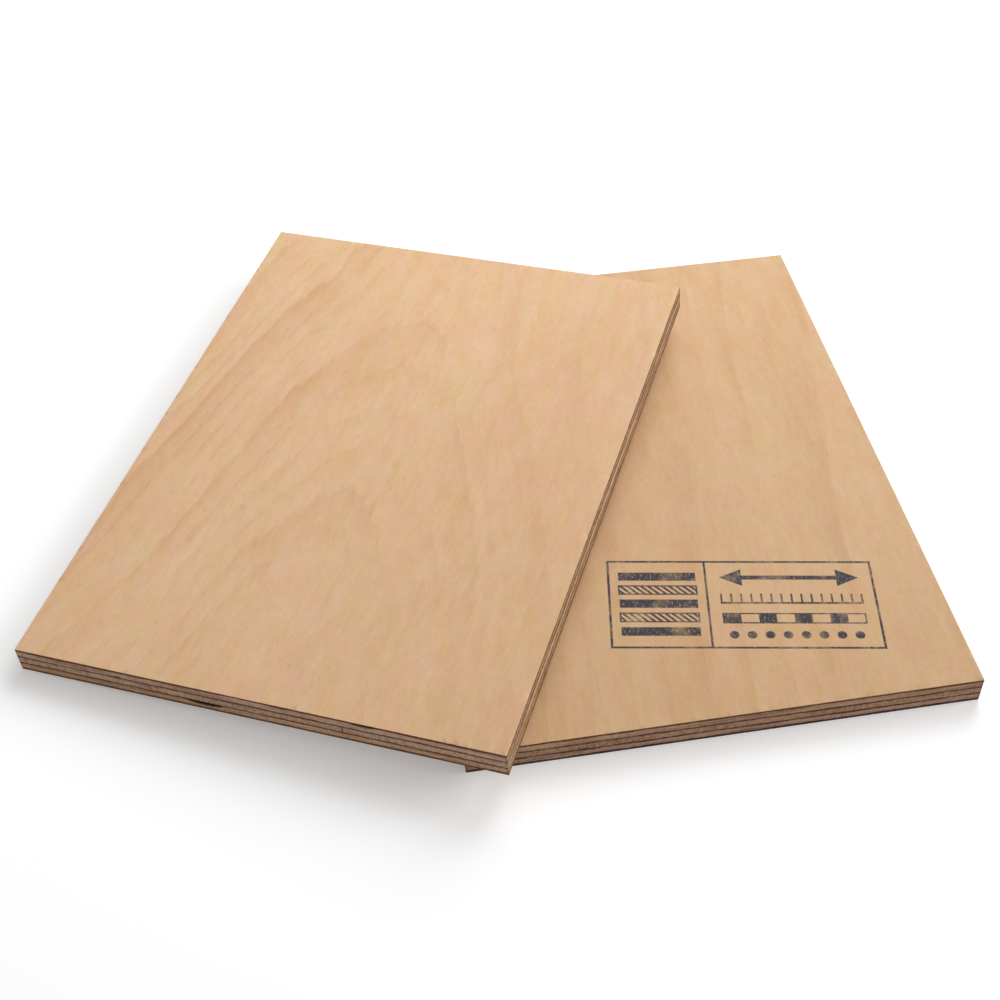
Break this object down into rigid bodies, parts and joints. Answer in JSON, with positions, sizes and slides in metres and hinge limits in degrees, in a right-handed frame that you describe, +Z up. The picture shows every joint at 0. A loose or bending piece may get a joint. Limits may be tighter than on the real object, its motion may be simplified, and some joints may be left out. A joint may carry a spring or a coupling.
{
  "type": "stack of plywood sheets",
  "caption": "Small stack of equal plywood sheets, one lying turned across the edge of the other, with pale face veneers and crossed brown plies showing on the cut edges.",
  "frame": {"origin": "middle of the lower sheet's underside, on the floor", "axes": "+X across the lower sheet's width, +Y along its face grain from the front edge to the back edge, +Z up"},
  "size_m": [0.3642, 0.3317, 0.0341],
  "materials": {
    "face_veneer": "sanded, unfinished rotary-cut hardwood veneer",
    "crossband": "sawn edge of hardwood veneer between dark glue lines",
    "core": "sawn edge of hardwood veneer between dark glue lines",
    "back_veneer": "sanded, unfinished rotary-cut hardwood veneer"
  },
  "bodies": {
    "root": {"lower_back_veneer": "back_veneer", "lower_bottom_crossband": "crossband", "lower_core_veneer": "core", "lower_top_crossband": "crossband", "lower_face_veneer": "face_veneer", "upper_back_veneer": "back_veneer", "upper_bottom_crossband": "crossband", "upper_core_strip_left": "core", "upper_core_strip_right": "core", "upper_top_crossband": "crossband", "upper_face_veneer": "face_veneer"}
  },
  "joints": []
}
